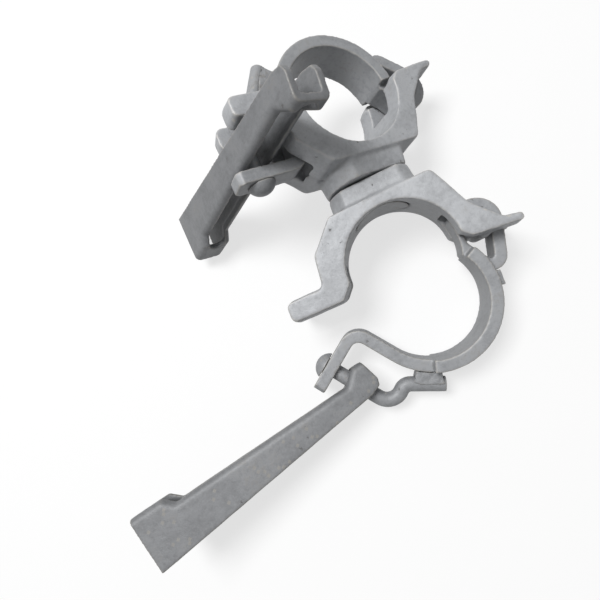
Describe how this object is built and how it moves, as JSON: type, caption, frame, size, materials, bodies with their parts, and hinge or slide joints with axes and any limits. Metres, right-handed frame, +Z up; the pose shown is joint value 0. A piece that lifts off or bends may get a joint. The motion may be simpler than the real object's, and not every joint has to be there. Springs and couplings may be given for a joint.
{
  "type": "swivel scaffold coupler",
  "caption": "Forged swivel coupler whose hinged strap clamps close on crossing scaffold tubes with captive folded wedges; one clamp hangs open.",
  "frame": {"origin": "centre of the outline on the ground under the coupler as it lies", "axes": "+Z up from the ground, +X along the longest extent towards the hinge side, +Y from the open clamp to the closed one"},
  "size_m": [0.2026, 0.1888, 0.0998],
  "materials": {
    "forging": "hot-dip galvanised, matt, mottled",
    "strap": "hot-dip galvanised, matt, mottled",
    "pin": "hot-dip galvanised, matt, mottled",
    "rivet": "hot-dip galvanised, matt, mottled",
    "weld": "hot-dip galvanised, matt, mottled",
    "wedge": "hot-dip galvanised, matt, mottled"
  },
  "bodies": {
    "lower_clamp": {"lower_body": "forging", "swivel_rivet": "rivet"},
    "upper_clamp": {"upper_body": "forging"},
    "lower_strap_set": {"lower_strap": "strap", "lower_loop_weld": "weld", "lower_bow_pin": "pin", "lower_bow_weld": "weld"},
    "upper_strap_set": {"upper_strap": "strap", "upper_loop_weld": "weld", "upper_bow_pin": "pin", "upper_bow_weld": "weld"},
    "lower_wedge": {"lower_wedge": "wedge"},
    "upper_wedge": {"upper_wedge": "wedge"}
  },
  "joints": [
    {"name": "swivel", "type": "hinge", "parent": "lower_clamp", "child": "upper_clamp", "pos_m": [0.0511, 0.02635, 0.02988], "axis": [0.0024, 0.9744, 0.2249], "continuous": true},
    {"name": "lower_strap_hinge", "type": "hinge", "parent": "lower_clamp", "child": "lower_strap_set", "pos_m": [0.085, -0.01296, 0.02044], "axis": [0.0102, -0.225, 0.9743], "range_deg": [-17, 75]},
    {"name": "lower_wedge_swing", "type": "hinge", "parent": "lower_strap_set", "child": "lower_wedge", "pos_m": [0.0036, -0.0438, 0.01418], "axis": [-0.5858, 0.7883, 0.1881], "range_deg": [-60, 65]},
    {"name": "upper_wedge_drive", "type": "slide", "parent": "upper_clamp", "child": "upper_wedge", "axis": [0.6907, -0.1643, 0.7043], "range_m": [-0.028, 0.003]},
    {"name": "upper_strap_hinge", "type": "hinge", "parent": "upper_clamp", "child": "upper_strap_set", "pos_m": [0.07997, 0.06968, 0.02129], "axis": [-0.5326, 0.1916, -0.8244], "range_deg": [-0.3, 2.3]}
  ],
  "couplings": [
    {"joint": "upper_strap_hinge", "follows": "upper_wedge_drive", "rad_per_m": -1.1942}
  ]
}
